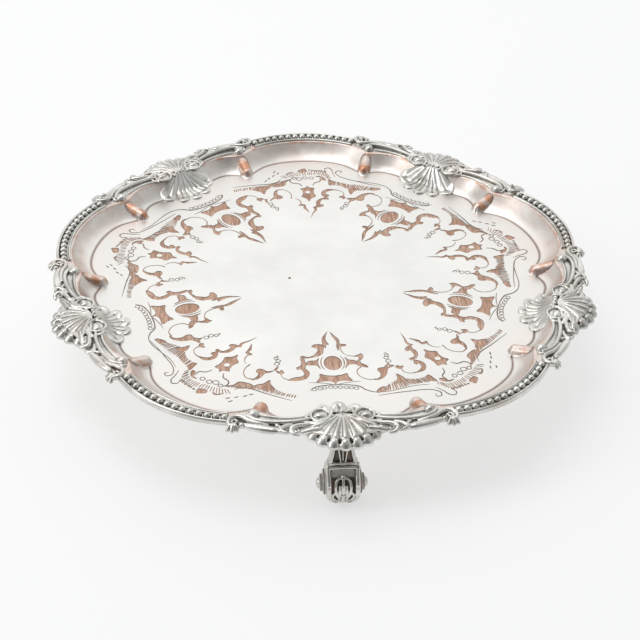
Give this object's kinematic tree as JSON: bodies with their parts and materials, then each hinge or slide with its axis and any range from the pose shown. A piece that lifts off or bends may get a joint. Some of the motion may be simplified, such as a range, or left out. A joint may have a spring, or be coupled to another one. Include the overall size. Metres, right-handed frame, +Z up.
{
  "type": "salver",
  "caption": "Round footed salver with a shallow lobed well, folded ribs, a beaded and scrolled rim with shell mounts, and rolled scroll feet.",
  "frame": {"origin": "on the ground under the middle of the tray", "axes": "+Z up, -Y towards the foot and the shell at the front, X across"},
  "size_m": [0.299, 0.3035, 0.0503],
  "materials": {
    "plated_sheet": "worn silver plate, satin, copper showing in the engraving and on the ribs",
    "cast_silver": "polished silver with dark crevices"
  },
  "bodies": {
    "root": {"tray_body": "plated_sheet", "bead_strip_1": "cast_silver", "scroll_left_1": "cast_silver", "scroll_right_1": "cast_silver", "shell_mount_1": "cast_silver", "bead_strip_2": "cast_silver", "scroll_left_2": "cast_silver", "scroll_right_2": "cast_silver", "shell_mount_2": "cast_silver", "bead_strip_3": "cast_silver", "scroll_left_3": "cast_silver", "scroll_right_3": "cast_silver", "shell_mount_3": "cast_silver", "bead_strip_4": "cast_silver", "scroll_left_4": "cast_silver", "scroll_right_4": "cast_silver", "shell_mount_4": "cast_silver", "bead_strip_5": "cast_silver", "scroll_left_5": "cast_silver", "scroll_right_5": "cast_silver", "shell_mount_5": "cast_silver", "foot_1": "cast_silver", "foot_2": "cast_silver", "foot_3": "cast_silver"}
  },
  "joints": []
}
